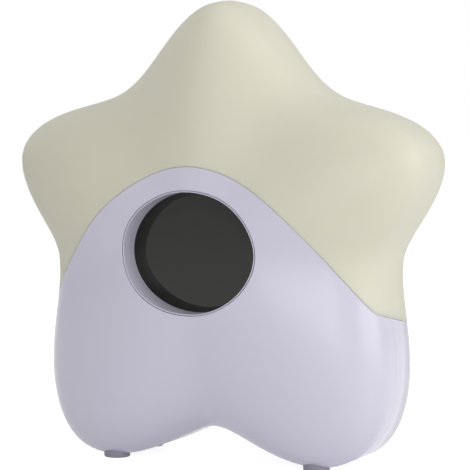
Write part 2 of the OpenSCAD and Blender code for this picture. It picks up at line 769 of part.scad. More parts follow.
// Pan head screw along Y with its head at the back and a cross slot
module screw(radius, head, head_height, seat, tip, x, z) difference() {
    union() {
        bar(radius, tip, seat + EPS, x, z);
        bar(head, seat, seat + head_height, x, z);
    }
    for (turn = [0, 90]) translate([x, seat + head_height, z]) rotate([0, turn, 0])
        cube([head * 1.3, head_height, head * 0.3], center = true);
}

module housing_screws() color(STEEL) for (place = HOUSING_SCREWS)
    screw(screw_radius, head_radius, head_height, head_seat, screw_end, place[0], place[1]);

module door_screw() color(STEEL)
    screw(door_screw_radius, door_head_radius, door_head_height, door_head_seat + slip,
        door_post_end - door_screw_length, 0, door_screw_height);

module lens_tube_screws() color(STEEL) for (place = TUBE_POSTS)
    screw(small_screw_radius, 2 * small_screw_radius, tube_screw_head, flange_end,
        tunnel_end - tube_screw_depth, place[0], place[1]);

// Screws of the boards, with their heads away from the posts
module board_screws() color(STEEL) {
    head = 2 * small_screw_radius;
    for (place = MAIN_SCREWS) mirror([0, 1, 0])
        screw(small_screw_radius, head, board_screw_head, -main_board_front, box_screw_floor - bay_front,
            place[0], place[1]);
    for (place = SWITCH_POSTS) mirror([0, 1, 0])
        screw(small_screw_radius, head, board_screw_head, -switch_board_front,
            -switch_board_back - board_screw_depth, place[0], place[1]);
    for (p = LAMP_POSTS) translate([p[0], p[1], lamp_board_foot + lamp_board_thickness])
        rotate([90, 0, 0]) screw(small_screw_radius, head, board_screw_head, 0, -lamp_screw_depth, 0, 0);
}

// ---------------------------------------------------------------- wires

// Wire of six sides swept along a route of points
module wire(route, radius = 0.6) {
    sides = 6;
    rings = len(route) - 1;
    points = [for (i = [0:rings])
        let (d = route[min(rings, i + 1)] - route[max(0, i - 1)], along = d / norm(d),
            side = cross(along, abs(along[0]) < 0.8 ? [1, 0, 0] : [0, 1, 0]), u = side / norm(side),
            v = cross(along, u))
        for (s = [0:sides - 1]) route[i] + radius * (cos(60 * s) * u + sin(60 * s) * v)];
    tube(points, rings, sides);
}

// Bends of a route, rounded by halving its corners twice
function halved(p) = concat([p[0]], [for (i = [0:len(p) - 2]) each
    [0.75 * p[i] + 0.25 * p[i + 1], 0.25 * p[i] + 0.75 * p[i + 1]]], [p[len(p) - 1]]);
function rounded(p) = halved(halved(p));

// Places that the routes pass
box_side = bay_half_width + box_wall;
wire_front = main_board_front - 1.5;
projector_foot = window_centre_height - projector_board_radius;
wire_behind = projector_board_back + 1.1;

module battery_wires() color("firebrick") for (side = [-1, 1])
    wire(rounded([[side * (box_side + 1.15), cell_depth, main_board_top],
        [side * (box_side + 2.65), main_board_back + 3.9, main_board_top],
        [side * (box_side + 1.15), wire_front, main_board_top - 3],
        [side * main_board_half_width, wire_front - 2, main_board_top - 10],
        [side * (main_board_half_width - 5), wire_front, main_board_top - 14]]));
module projector_wires() color("goldenrod") for (side = [-1, 1])
    wire(rounded([[side * 4, wire_behind, projector_foot + 3.1], [side * 4, wire_behind, projector_foot + 1.1],
        [side * 5, wire_behind, projector_foot - 0.1], [side * 5, wire_front, projector_foot - 2],
        [side * 5, wire_front, projector_foot - 4]]));
module night_light_wires() color("navy") for (side = [-1, 1])
    wire(rounded([[side * 1, 0, lamp_board_foot - 1], [side * 1, 0, lamp_board_foot - 6.8],
        [side * (lamp_board_half - 5), wire_front + 4, lamp_board_foot - 9.8],
        [side * (main_board_half_width - 7), wire_front + 3, window_centre_height + 1.6],
        [side * (main_board_half_width - 5), wire_front + 1, main_board_top + 4],
        [side * (main_board_half_width - 7), wire_front - 1, main_board_top - 4],
        [side * (main_board_half_width - 7), wire_front, main_board_top - 8]]));

// ---------------------------------------------------------------- assembly

front_housing();
rear_housing();
night_light_diffuser();
window_pane();
lens_tube();
projection_lens();
star_film();
film_ring();
projector_board();
projector_led();
light_baffle();
night_light_board();
night_light_leds();
main_board();
main_board_parts();
switch_board();
button_switches();
button(button_sides[0]);  // projector_button
button(button_sides[1]);  // night_light_button
plunger(button_sides[0]);  // projector_plunger
plunger(button_sides[1]);  // night_light_plunger
battery_box();
for (k = [0:CELLS - 1]) battery(k);
battery_springs();
battery_plates();
battery_door();
door_screw();
housing_screws();
lens_tube_screws();
board_screws();
foot_pad(0);  // front_left_foot
foot_pad(1);  // front_right_foot
foot_pad(2);  // rear_left_foot
foot_pad(3);  // rear_right_foot
battery_wires();
projector_wires();
night_light_wires();
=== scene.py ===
"""Star night light projector: the looks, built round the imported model."""

import math

import bmesh
import bpy
import numpy as np
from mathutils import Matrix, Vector


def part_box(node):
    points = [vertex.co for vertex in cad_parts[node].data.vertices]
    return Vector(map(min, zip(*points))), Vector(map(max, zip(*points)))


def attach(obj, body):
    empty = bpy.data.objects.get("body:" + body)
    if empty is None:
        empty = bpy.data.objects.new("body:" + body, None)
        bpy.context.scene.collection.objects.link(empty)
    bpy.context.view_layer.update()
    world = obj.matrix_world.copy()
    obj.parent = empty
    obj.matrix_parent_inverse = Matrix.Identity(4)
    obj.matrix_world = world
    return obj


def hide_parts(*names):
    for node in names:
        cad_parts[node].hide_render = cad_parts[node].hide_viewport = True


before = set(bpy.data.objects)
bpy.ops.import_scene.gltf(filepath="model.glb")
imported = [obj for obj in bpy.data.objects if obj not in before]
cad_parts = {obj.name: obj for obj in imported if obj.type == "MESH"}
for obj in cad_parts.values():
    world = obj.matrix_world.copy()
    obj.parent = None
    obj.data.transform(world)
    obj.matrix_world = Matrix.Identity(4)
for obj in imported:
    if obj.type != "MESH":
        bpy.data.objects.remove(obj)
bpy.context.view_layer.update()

bl_info = {
    "name": "Star Night Light Projector",
    "version": (1, 0, 0),
    "blender": (4, 5, 0),
    "location": "3D View > Sidebar > Star Lamp",
    "description": "Builds the shells, window, door, buttons, pads and finishes of a star lamp",
    "category": "Object",
}

MM = 0.001
LAMP = "lamp"

# Lengths are in millimetres. The front is towards -y.
FLANK_BIAS = (0.59, 0.46, 0.54, 0.44, 0.5)  # where each flank between two knots is at mid reach
ROUNDING = ((0.0, 1.0), (0.05, 0.69), (0.18, 0.4), (0.4, 0.18), (0.69, 0.05), (1.0, -0.02))
CLEAR = 8  # how far a cutter stands out of the surface
BEYOND = 130  # farther out than any part of the star
HALF_GAP = 0.03  # from the middle plane to either half of the housing
BAR_SPACING = 0.8  # between the points along a rounded edge

WINDOW_LAP = 0.2  # how far the window's cutter reaches past the pane's face
TUNNEL_START, TUNNEL_LAP = -60, 6  # in front of the star, and past the heads of the tube's screws
PANE_GAP, PANE_CAP = 0.1, 8  # gap round the pane, and the ring between its edge and its caps

HOUSING_SCREWS = [(s * x, z) for s in (-1, 1) for x, z in ((46, 26), (47, 54))]
SCREW_SEAT, POST_END = 10, 60  # how deep a screw's head sits, and behind the back of the star
POST_RADIUS, WELL_RADIUS, SHANK_RADIUS = 5, 3.4, 1.5

DOOR_START = 6  # where the door's opening begins, well inside the hollow
DOOR_SCREW_HEAD, DOOR_SEAT, DOOR_SHANK_START = 1.75, 2.9, 20
DOOR_POST_RADIUS, DOOR_WELL_RADIUS, DOOR_SHANK_RADIUS = 3.6, 2.9, 1.35

FEET = ("front_left_foot", "front_right_foot", "rear_left_foot", "rear_right_foot")
SOCKET_GAP, SOCKET_DEPTH = 0.1, 3.7
SOCKET_WALL, SOCKET_BLOCK = 2, 5.2  # the block of plastic that each pad's socket is sunk into
PAD_FLAT, PAD_BEVEL = 0.4, 0.2  # flat share of a pad's underside, and the bevel at its top

BUTTON_HOLE_START = 30  # well inside the hollow
BUTTON_STEM, BUTTON_FLANGE = 1.7, 1
FLANGE_START, FLANGE_THICKNESS = 0.45, 1.2
BUTTON_ROUND, DISH_RIM = 0.7, 0.3
DISH_SHARES = (0.85, 0.7, 0.58, 0.5, 0.45, 0.4, 0.34, 0.28, 0.22, 0.15, 0.08, 0.03)
MARKS = {"projector_button": (0.45, 0.06), "night_light_button": (0, 0.16)}  # shares of the dish
MARK_HEIGHT, MARK_SINK = 0.35, 0.02

SHARP_ANGLE = 38  # degrees between two faces, from which an edge stays crisp
ON_SURFACE = 0.035  # how near to the star's surface a point has to be to be shaded by it
SAME_WAY = 0.94  # cosine between a face and that surface, from which it is shaded by it

GREEN_BOARD = ((0.012, 0.09, 0.03), (0.05, 0.2, 0.06))  # solder mask and tracks
WHITE_BOARD = ((0.7, 0.7, 0.68), (0.6, 0.6, 0.58))
LIGHT_EPOXY = (0.9, 0.86, 0.6)
FLOOR_RADIUS, FLOOR_DROP, FLOOR_WHITE = 3000, 0.02, 0.8


# ---------------------------------------------------------------- settings


def length(name, millimetres, words):
    """A length setting, given in millimetres and kept in metres."""
    return bpy.props.FloatProperty(
        name=name, description=words, default=millimetres * MM, min=0, unit="LENGTH", precision=5
    )


def angle(name, degrees, words):
    """An angle setting, given in degrees and kept in radians."""
    return bpy.props.FloatProperty(
        name=name, description=words, default=math.radians(degrees), unit="ROTATION",
        subtype="ANGLE",
    )


def colour(name, rgb, words):
    """A colour setting, written as display values from 0 to 255 and kept as scene linear."""
    linear = [((v / 255 + 0.055) / 1.055) ** 2.4 for v in rgb]
    return bpy.props.FloatVectorProperty(
        name=name, description=words, default=linear, size=3, min=0, max=1, subtype="COLOR"
    )


def amount(name, value, words, top=1.0):
    """A plain number from nought up to a top value."""
    return bpy.props.FloatProperty(name=name, description=words, default=value, min=0, max=top)


def shift(name, value, words):
    """A camera shift, as a share of the picture."""
    return bpy.props.FloatProperty(name=name, description=words, default=value)


class StarOutlineSettings(bpy.types.PropertyGroup):
    centre_height: length("Centre height", 78, "Height of the star's middle above the table")
    top_reach: length("Top reach", 84.5, "Reach from the middle to the top point")
    upper_dip_reach: length("Upper dip reach", 63.8, "Reach to the dip above an arm")
    arm_reach: length("Arm reach", 82.3, "Reach to the end of an arm")
    waist_reach: length("Waist reach", 61.1, "Reach to the waist below an arm")
    leg_reach: length("Leg reach", 90.2, "Reach to the end of a leg")
    arch_reach: length("Arch reach", 64.7, "Reach to the arch between the legs")
    upper_dip_angle: angle("Upper dip angle", 57.5, "Direction of the dip above an arm")
    arm_angle: angle("Arm angle", 24, "Direction of an arm")
    waist_angle: angle("Waist angle", -6, "Direction of the waist")
    leg_angle: angle("Leg angle", -54.3, "Direction of a leg")
    half_depth: length("Half depth", 38, "Half of the star's greatest thickness")
    edge_half_width: length("Edge half width", 12.3, "Half of the straight band round the star")
    tip_crown: length("Tip crown", 1.2, "How far the band of the top point is crowned")
    crown_half_width: length("Crown half width", 16, "Half of the crowned depth")
    crown_spread: angle("Crown spread", 24, "Angle over which the crown fades")
    soft_half_width: length("Soft half width", 20, "Half of the depth with softened shading")
    housing_wall: length("Housing wall", 2.4, "Wall of the housing")
    diffuser_wall: length("Diffuser wall", 3.8, "Wall of the diffuser")
    outline_steps: bpy.props.IntProperty(
        name="Outline steps", description="Number of points round the star", default=440, min=96
    )
    dome_rings: bpy.props.IntProperty(
        name="Dome rings", description="Number of rings on each dome", default=56, min=9
    )


class PartingSettings(bpy.types.PropertyGroup):
    foot_height: length("Edge foot height", 44.3, "Height at which the arched edge ends")
    rise: length("Edge rise", 62.3, "Rise of the arched edge over the window")
    half_span: length("Half span", 72.8, "Half width of the arch")
    fall: amount("Fall", 0.155, "Fall of the edge for each length towards the back")
    groove: length("Groove", 0.06, "Gap between the housing and the diffuser")
    housing_round: length("Housing edge rounding", 0.32, "Rounding of the housing's edge")
    housing_stand: length("Housing edge stand", 0.09, "How far the housing's edge stands out")
    diffuser_round: length("Diffuser edge rounding", 0.14, "Rounding of the diffuser's edge")
    diffuser_stand: length("Diffuser edge stand", 0.01, "How far the diffuser's edge stands out")
    skirt_depth: length("Skirt depth", 3.6, "Depth of the diffuser's skirt inside the housing")
    skirt_gap: length("Skirt gap", 0.2, "Gap between the skirt and the housing wall")
    seam_width: length("Seam width", 0.24, "Width of the seam between the housing halves")
    seam_depth: length("Seam depth", 0.12, "Depth of the seam between the housing halves")


class WindowSettings(bpy.types.PropertyGroup):
    width: length("Width", 49.2, "Width of the oval window")
    height: length("Height", 42.3, "Height of the oval window")
    centre_height: length("Centre height", 76.4, "Height of the window's middle above the table")
    rim_round: length("Rim rounding", 0.16, "Rounding of the window's rim")
    lip_width: length("Lip width", 0.35, "Width of the lip round the window")
    groove_width: length("Groove width", 0.34, "Width of the fine groove outside the lip")
    groove_depth: length("Groove depth", 1.4, "Depth of the fine groove outside the lip")
    pane_margin: length("Pane margin", 0.8, "Margin of the pane behind the rim")
    pane_round: length("Pane rounding", 0.35, "Rounding of the pane's edge")
    tunnel_wall: length("Tunnel wall", 1.3, "Wall of the window tunnel")


class BackSettings(bpy.types.PropertyGroup):
    door_width: length("Door width", 62, "Width of the battery door")
    door_height: length("Door height", 53.6, "Height of the battery door")
    door_foot_height: length("Door foot height", 19.6, "Height of the door's lower edge")
    door_corner: length("Door corner", 5, "Corner radius of the door")
    door_gap: length("Door gap", 0.15, "Gap round the door")
    edge_round: length("Edge rounding", 0.4, "Rounding of the door, hole and button edges")
    button_radius: length("Button radius", 5, "Radius of a push button")
    button_spacing: length("Button spacing", 22, "Distance between the buttons' middles")
    button_height: length("Button height", 81, "Height of the buttons above the table")
    button_gap: length("Button gap", 0.2, "Gap round a button")
    button_dish: length("Button dish", 0.5, "Depth of the finger dish in a button")
    pad_round: length("Foot pad rounding", 0.6, "Rounding of a foot pad's lower edge")


class FinishSettings(bpy.types.PropertyGroup):
    housing: colour("Housing", (219, 216, 233), "Glossy pale lavender plastic")
    diffuser: colour("Diffuser", (225, 222, 203), "Satin translucent cream plastic")
    pane: colour("Pane", (17, 19, 8), "Smoked acrylic")
    button: colour("Button", (219, 216, 233), "Plastic of the push buttons")
    # The foot pad colour is the pads' own lavender-grey elastomer, darkened further by painted
    # shade that stands for the shade under the lamp.
    pad: colour("Foot pad", (150, 147, 162), "Soft foot pads")
    diffuser_glow: amount("Diffuser translucency", 0.35, "Share of light that spreads inside")
    housing_roughness: amount("Housing roughness", 0.23, "Roughness of the housing's gloss")
    diffuser_roughness: amount("Diffuser roughness", 0.5, "Roughness of the diffuser's satin")


class StageSettings(bpy.types.PropertyGroup):
    camera_side: angle("Camera side", 24, "Angle of the camera from the front towards the right")
    camera_rise: angle("Camera rise", 4.49, "Angle of the camera above the level")
    camera_distance: length("Camera distance", 941.3, "Distance of the camera from the lamp")
    camera_target: length("Target height", 77, "Height of the point that the camera turns round")
    lens: bpy.props.FloatProperty(
        name="Lens", description="Focal length in millimetres", default=201.9, min=20
    )
    shift_x: shift("Shift sideways", 0.0104, "Camera shift to the side")
    shift_y: shift("Shift up", 0.0196, "Camera shift upwards")
    ambient: amount("Ambient", 0.24, "Level of the even light from all round", 4)
    front: amount("Front light", 6.7, "Watts of the low light beside the camera", 100)
    right: amount("Right light", 5.3, "Watts of the light at the right", 100)
    above: amount("Light above", 2.2, "Watts of the light above", 100)
    left: amount("Left light", 1.3, "Watts of the light at the left", 100)
    light_distance: length("Light distance", 1100, "Distance of the lights from the lamp")
    light_size: length("Light size", 900, "Side of each square light")
    floor_glow: amount("Floor glow", 0.82, "White that the camera sees added to the lit floor")


# ---------------------------------------------------------------- the star's form


def upright(outline, y):
    """Points of an outline in the x-z plane, stood at a depth or at one depth each."""
    return np.column_stack([outline[:, 0], np.full(len(outline), y), outline[:, 1]])


def unit(vectors):
    """Rows of vectors, each made one long."""
    return vectors / np.linalg.norm(vectors, axis=1)[:, None]


def fold(degrees):
    """An angle's twin on the right-hand side, between -90 and 90."""
    a = (np.asarray(degrees, float) + 180) % 360 - 180
    return np.where(a > 90, 180 - a, np.where(a < -90, -180 - a, a))


class StarForm:
    """The star's surfaces in millimetres, worked out from the settings."""

    def __init__(self, scene):
        s, p = scene.star_outline, scene.star_parting
        self.centre = s.centre_height / MM
        turns = (s.upper_dip_angle, s.arm_angle, s.waist_angle, s.leg_angle)
        reaches = (s.top_reach, s.upper_dip_reach, s.arm_reach, s.waist_reach, s.leg_reach)
        self.angles = [90, *map(math.degrees, turns), -90]
        self.reaches = [reach / MM for reach in (*reaches, s.arch_reach)]
        self.half_depth = s.half_depth / MM
        self.band = s.edge_half_width / MM
        self.crown, self.crown_width = s.tip_crown / MM, s.crown_half_width / MM
        self.crown_spread = math.degrees(s.crown_spread)
        self.soft = s.soft_half_width / MM
        self.wall = s.housing_wall / MM
        self.diffuser_wall = s.diffuser_wall / MM
        self.steps, self.rings = s.outline_steps, s.dome_rings
        self.edge_foot, self.edge_rise = p.foot_height / MM, p.rise / MM
        self.edge_span, self.edge_fall = p.half_span / MM, p.fall

    def reach(self, degrees):
        """Reach of the outline from the star's middle in a direction."""
        a = fold(degrees)
        out = np.full(a.shape, self.reaches[-1])
        for k, bias in enumerate(FLANK_BIAS):
            high, low = self.angles[k], self.angles[k + 1]
            t = np.clip((high - a) / (high - low), 0, 1)
            u = t / ((1 / bias - 2) * (1 - t) + 1)
            r = self.reaches[k] + (self.reaches[k + 1] - self.reaches[k]) * u * u * (3 - 2 * u)
            out = np.where((a <= high) & (a >= low), r, out)
        return out

    def outline(self, degrees, inset=0.0):
        """Points (x, height from the middle) of the outline moved inwards."""

        def on(a):
            t = np.radians(a)
            return self.reach(a)[..., None] * np.stack([np.cos(t), np.sin(t)], -1)

        degrees = np.asarray(degrees, float)
        if inset == 0:
            return on(degrees)
        d = on(degrees + 0.5) - on(degrees - 0.5)
        outward = np.stack([d[..., 1], -d[..., 0]], -1) / np.linalg.norm(d, axis=-1)[..., None]
        return on(degrees) - inset * outward

    def share(self, x, z):
        """How far out a place lies, as a share of the outline's reach there."""
        return np.hypot(x, z - self.centre) / self.reach(np.degrees(np.arctan2(z - self.centre, x)))

    def depth(self, x, z):
        """Distance of the surface from the middle plane."""
        s = np.minimum(self.share(x, z), 1)
        return self.band + (self.half_depth - self.band) * np.sqrt(1 - s * s)

    def swell(self, degrees, y):
        """The crown of the top point, as a factor of the reach."""
        near = np.cos(np.pi / 2 * np.minimum((90 - fold(degrees)) / self.crown_spread, 1)) ** 2
        middle = (1 - np.minimum((y / self.crown_width) ** 2, 1)) ** 2
        return 1 + self.crown / self.reaches[0] * near * middle

    def level(self, p):
        """Zero on the star's surface, negative inside."""
        y = np.maximum(np.abs(p[:, 1]) - self.band, 0) / (self.half_depth - self.band)
        crown = self.swell(np.degrees(np.arctan2(p[:, 2] - self.centre, p[:, 0])), p[:, 1])
        return y * y + (self.share(p[:, 0], p[:, 2]) / crown) ** 2 - 1

    def gradient(self, p, h=0.02):
        """Slope of the level at points, which on the surface points outwards."""
        g = np.zeros_like(p)
        for k in range(3):
            d = np.zeros(3)
            d[k] = h
            g[:, k] = (self.level(p + d) - self.level(p - d)) / (2 * h)
        return g

    def soft_slope(self, p, slope):
        """The gradient whose turn from the band into the domes is spread out, for shading."""
        soft = slope.copy()
        inner = np.abs(p[:, 1]) < self.soft
        share = np.abs(p[inner, 1]) / self.soft
        end = 2 * (self.soft - self.band) / (self.half_depth - self.band) ** 2
        soft[inner, 1] = np.sign(p[inner, 1]) * end * share**2
        return soft

    def edge_height(self, x, y, away=0.0):
        """Height of the arched parting edge, or of the line that runs beside it at a distance."""
        turn = np.pi / 2 * np.minimum(np.abs(x) / self.edge_span, 1)
        foot = self.edge_foot - self.edge_fall * (y + self.half_depth)
        height = foot + self.edge_rise * np.cos(turn)
        if away == 0:
            return height
        slope = np.sign(x) * self.edge_rise * np.pi / 2 / self.edge_span * np.sin(turn)
        steepest = np.column_stack([slope, np.full_like(slope, self.edge_fall), np.ones(len(x))])
        front = self.edge_height(x, -self.half_depth)
        normal = unit(self.gradient(np.column_stack([x, -self.depth(x, front), front])))
        across = steepest - (steepest * normal).sum(1)[:, None] * normal
        return height + away * np.linalg.norm(across, axis=1)

    def solid(self, inset=0.0, coarse=1, band_loops=5):
        """Points and faces of the closed star moved inwards."""
        steps, rings = self.steps // coarse, self.rings // coarse
        rim = self.outline(np.arange(steps) * 360 / steps - 90, inset)
        rise = self.half_depth - inset - self.band
        turn = np.radians(90 * np.arange(rings) / rings)
        front = [(math.cos(t), -self.band - rise * math.sin(t)) for t in turn[::-1]]
        inner = range(1 - band_loops, band_loops)
        middle = [(1, self.band * k / band_loops) for k in inner]
        back = [(math.cos(t), self.band + rise * math.sin(t)) for t in turn]
        loops = front + middle + back
        degrees = np.degrees(np.arctan2(rim[:, 1], rim[:, 0]))
        points = []
        for share, y in loops:
            factor = share * self.swell(degrees, y)
            points.append(upright(rim * factor[:, None] + (0, self.centre), y))
        pole = self.half_depth - inset
        poles = [[0, -pole, self.centre], [0, pole, self.centre]]
        i = np.arange(steps)
        j = (i + 1) % steps
        faces = []
        for k in range(len(loops) - 1):
            a = k * steps
            faces += np.column_stack([a + i, a + j, a + steps + j, a + steps + i]).tolist()
        first, last = len(loops) * steps, (len(loops) - 1) * steps
        faces += np.column_stack([np.full(steps, first), j, i]).tolist()
        faces += np.column_stack([last + i, last + j, np.full(steps, first + 1)]).tolist()
        return np.vstack(points + [np.array(poles)]), faces


# ---------------------------------------------------------------- making meshes


def new_piece(name, points, faces):
    """A mesh object from points in millimetres, its faces turned outwards."""
    mesh = bpy.data.meshes.new(name)
    mesh.from_pydata((np.asarray(points, float) * MM).tolist(), [], faces)
    work = bmesh.new()
    work.from_mesh(mesh)
    bmesh.ops.recalc_face_normals(work, faces=work.faces)
    work.to_mesh(mesh)
    work.free()
    piece = bpy.data.objects.new(name, mesh)
    bpy.context.scene.collection.objects.link(piece)
    return piece


def loft(name, rows, closed=False):
    """A tube over rows of points, with a cap at each end or joined into a ring."""
    n = len(rows[0])
    i = np.arange(n)
    j = (i + 1) % n
    faces = []
    count = len(rows)
    for k in range(count if closed else count - 1):
        a, b = k * n, (k + 1) % count * n
        faces += np.column_stack([a + i, a + j, b + j, b + i]).tolist()
    if not closed:
        faces += [list(range(n)), list(range((count - 1) * n, count * n))]
    return new_piece(name, np.vstack(rows), faces)


def ring(radius_x, radius_z=None, steps=96):
    """A circle or oval round the origin of a plane."""
    t = np.arange(steps) * 2 * np.pi / steps
    return np.column_stack([radius_x * np.cos(t), (radius_z or radius_x) * np.sin(t)])


def turned(name, profile, centre, axis="Y", steps=96):
    """A turned piece: profile of (radius, place along the axis), closed by a cap at each end."""
    rows = []
    for radius, place in profile:
        row = upright(ring(radius, steps=steps), place)
        rows.append((row if axis == "Y" else row[:, [0, 2, 1]]) + np.asarray(centre, float))
    return loft(name, rows)


def quarter(radius, steps=7):
    """Steps of a quarter round: how far in from the side, and how far on from the face."""
    turn = np.linspace(0, math.pi / 2, steps)
    return [(radius * (1 - math.sin(t)), radius * (1 - math.cos(t))) for t in turn]


def carve(piece, *tools, how="DIFFERENCE"):
    """Cuts, joins or keeps what the tools share with the piece, and removes the tools."""
    for tool in tools:
        step = piece.modifiers.new("carve", "BOOLEAN")
        step.solver, step.operation, step.object = "MANIFOLD", how, tool
        graph = bpy.context.evaluated_depsgraph_get()
        mesh = bpy.data.meshes.new_from_object(piece.evaluated_get(graph), depsgraph=graph)
        if len(mesh.polygons) == 0 or len(mesh.vertices) == len(piece.data.vertices):
            raise RuntimeError(f"{tool.name} doesn't cut {piece.name}")
        old = piece.data
        piece.modifiers.clear()
        piece.data = mesh
        bpy.data.meshes.remove(old)
        bpy.data.meshes.remove(tool.data)
    return piece


def prism(name, outline, start, end):
    """A straight block with an upright outline, from one depth to another."""
    return loft(name, [upright(outline, y) for y in (start, end)])


def below_edge(form, lift=0.0, away=0.0, low=-20.0, past=6):
    """Everything under the parting edge, moved up by lift or away from the edge."""
    x = np.linspace(-form.edge_span, form.edge_span, 241)
    foot = np.array([[form.edge_span, low], [-form.edge_span, low]])
    rows = []
    for y in (-form.half_depth - past, form.half_depth + past):
        top = np.column_stack([x, form.edge_height(x, y, away) + lift])
        rows.append(upright(np.vstack([top, foot]), y))
    return loft("below_edge", rows)


def spread(outline, by):
    """An outline in the plane moved outwards by a distance."""
    d = np.roll(outline, -1, 0) - np.roll(outline, 1, 0)
    normal = np.column_stack([d[:, 1], -d[:, 0]]) / np.linalg.norm(d, axis=1)[:, None]
    return outline + by * normal


def flared(form, name, outline, side, inner, rounding, turn=1):
    """A cutter for a hole, whose rim it rounds; with turn -1, a plug whose own edge is round."""
    rows = [upright(outline, inner)]
    for out, down in ROUNDING:
        p = spread(outline, turn * out * rounding)
        rows.append(upright(p, side * (form.depth(p[:, 0], p[:, 1]) - down * rounding)))
    rows.append(upright(p, side * (form.half_depth + CLEAR)))
    return loft(name, rows)


def hoop(name, path, up, radius, sides=16):
    """A round bar along a closed path, with the first of its sides towards up."""
    along = unit(np.roll(path, -1, 0) - np.roll(path, 1, 0))
    t = np.arange(sides) * 2 * np.pi / sides
    rows = []
    for p, a, u in zip(path, along, up):
        u = u - a * (u @ a)
        u /= np.linalg.norm(u)
        rows.append(p + radius * (np.cos(t)[:, None] * u + np.sin(t)[:, None] * np.cross(a, u)))
    return loft(name, rows, closed=True)


def read(items, name, width=1):
    """One value or vector of every item of a mesh."""
    values = np.empty(len(items) * width, np.int32 if width == 1 else np.float32)
    items.foreach_get(name, values)
    return values if width == 1 else values.reshape(-1, width)


def shade(piece, form=None):
    """Smooth shading with crisp edges; the star's own surface gets its softened normals."""
    mesh = piece.data
    mesh.shade_smooth()
    mesh.set_sharp_from_angle(angle=math.radians(SHARP_ANGLE))
    if form is None:
        return
    points = read(mesh.vertices, "co", 3).astype(float) / MM
    slope = form.gradient(points)
    soft = form.soft_slope(points, slope)
    size = np.linalg.norm(slope, axis=1)
    near = np.abs(form.level(points)) < ON_SURFACE * size
    slope /= np.maximum(size, 1e-9)[:, None]
    soft /= np.maximum(np.linalg.norm(soft, axis=1), 1e-9)[:, None]
    vertex = read(mesh.loops, "vertex_index")
    corner = read(mesh.corner_normals, "vector", 3)
    flat, totals = read(mesh.polygons, "normal", 3), read(mesh.polygons, "loop_total")
    face = np.repeat(flat, totals, axis=0)
    use = near[vertex] & ((slope[vertex] * face).sum(1) > SAME_WAY)
    corner[use] = soft[vertex][use]
    mesh.normals_split_custom_set(corner.tolist())


def dress(piece, material, slot, body, *nodes):
    """Gives a piece its finish and ties it to its body and the nodes it stands for."""
    piece.data.materials.clear()
    piece.data.materials.append(material)
    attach(piece, body)
    if nodes:
        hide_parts(*nodes)


# ---------------------------------------------------------------- places


def oval(scene, grow=0.0, steps=192):
    """The window's outline, grown by a margin."""
    w = scene.star_window
    sides = (w.width / MM / 2 + grow, w.height / MM / 2 + grow)
    return ring(*sides, steps) + np.array([0, w.centre_height / MM])


def door_outline(scene, grow=0.0, corner_points=13, side_steps=24):
    """The door's outline with its round corners, grown by a gap, and points along its sides."""
    b = scene.star_back
    corner = b.door_corner / MM
    x = b.door_width / MM / 2 - corner
    low = b.door_foot_height / MM + corner
    high = (b.door_foot_height + b.door_height) / MM - corner
    corners = [(x, high), (-x, high), (-x, low), (x, low)]
    points = []

    def on(k, t):
        return (
            corners[k % 4][0] + (corner + grow) * math.cos(t),
            corners[k % 4][1] + (corner + grow) * math.sin(t),
        )

    for k in range(4):
        start, end = k * math.pi / 2, (k + 1) * math.pi / 2
        points += [on(k, t) for t in np.linspace(start, end, corner_points)]
        here, there = on(k, end), on(k + 1, end)
        points += [
            tuple(a + (b - a) * m / side_steps for a, b in zip(here, there))
            for m in range(1, side_steps)
        ]
    return np.array(points)


def disc(x, z, radius, steps=72):
    """A circle round a place on the back."""
    return ring(radius, steps=steps) + np.array([x, z])


def span(node):
    """A node's corners in millimetres."""
    low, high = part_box(node)
    return np.array(low) / MM, np.array(high) / MM


def pad_place(name):
    """A pad's middle, radius and top."""
    low, high = span(name)
    return (low + high) / 2, (high[0] - low[0]) / 2, high[2]


# ---------------------------------------------------------------- finishes


def nodes_of(name):
    """A material with its node tree where it is new, or without where it has been made."""
    material = bpy.data.materials.get(name)
    if material:
        return material, None
    material = bpy.data.materials.new(name)
    material.use_nodes = True
    return material, material.node_tree


def put(node, values):
    """Sets a node's sockets."""
    for socket, value in values.items():
        node.inputs[socket].default_value = value


def relief(tree, height, depth):
    """Raises and sinks a surface by a pattern."""
    bump = tree.nodes.new("ShaderNodeBump")
    put(bump, {"Strength": 1, "Distance": depth * MM})
    tree.links.new(height, bump.inputs["Height"])
    tree.links.new(bump.outputs["Normal"], tree.nodes["Principled BSDF"].inputs["Normal"])


